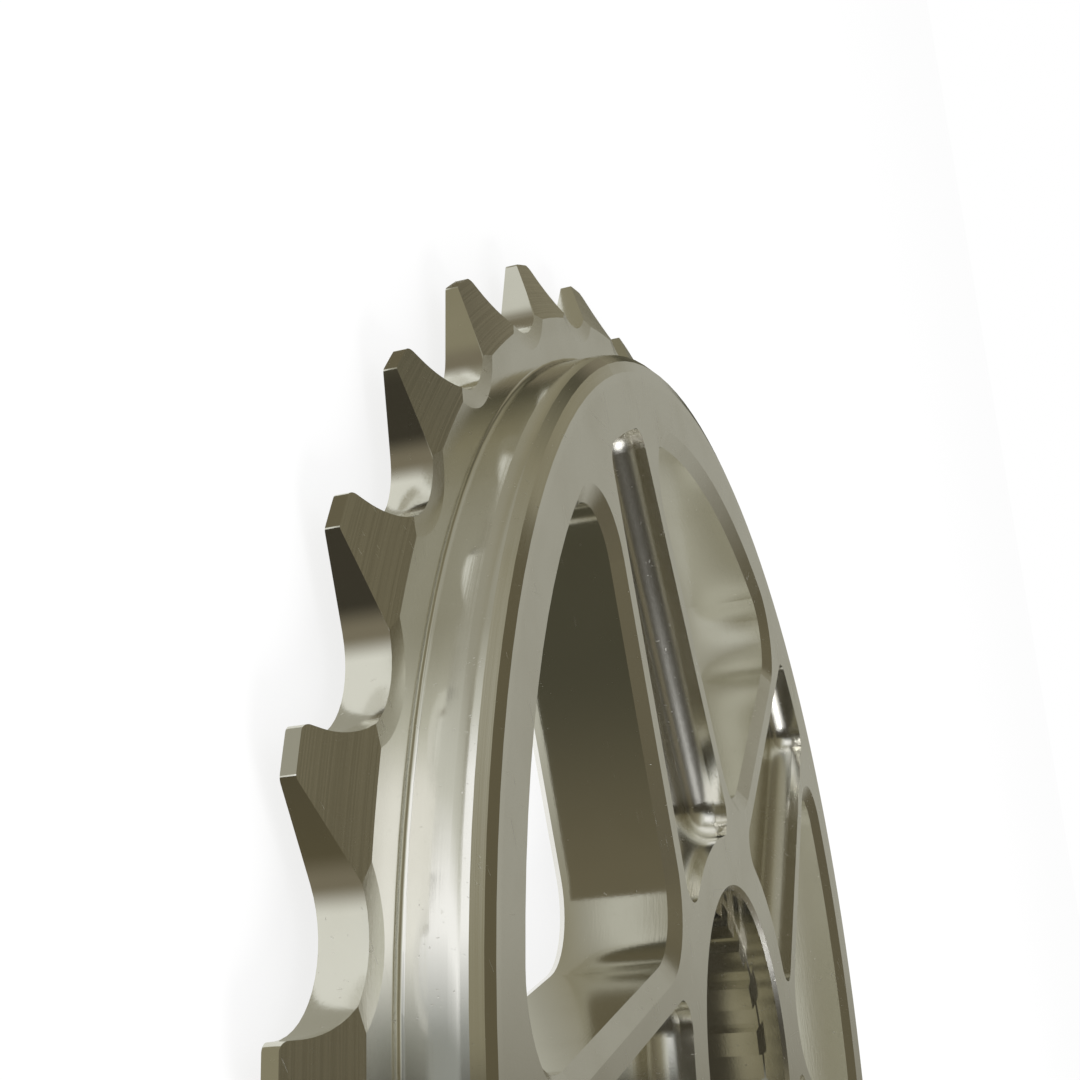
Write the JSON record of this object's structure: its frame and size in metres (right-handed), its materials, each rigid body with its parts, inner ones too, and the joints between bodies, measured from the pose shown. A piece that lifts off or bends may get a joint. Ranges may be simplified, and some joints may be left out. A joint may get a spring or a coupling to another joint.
{
  "type": "bicycle chainring",
  "caption": "One-piece chainring with pocketed spokes, leaning bevelled teeth and a stepped centre bore.",
  "frame": {"origin": "centre of the bore on the rear face", "axes": "+Z along the bore axis towards the front face, +X along the middle of the first spoke"},
  "size_m": [0.1138, 0.1138, 0.0076],
  "materials": {
    "machined_metal": "bright turned and milled, with a warm cast"
  },
  "bodies": {
    "root": {"chainring": "machined_metal"}
  },
  "joints": []
}
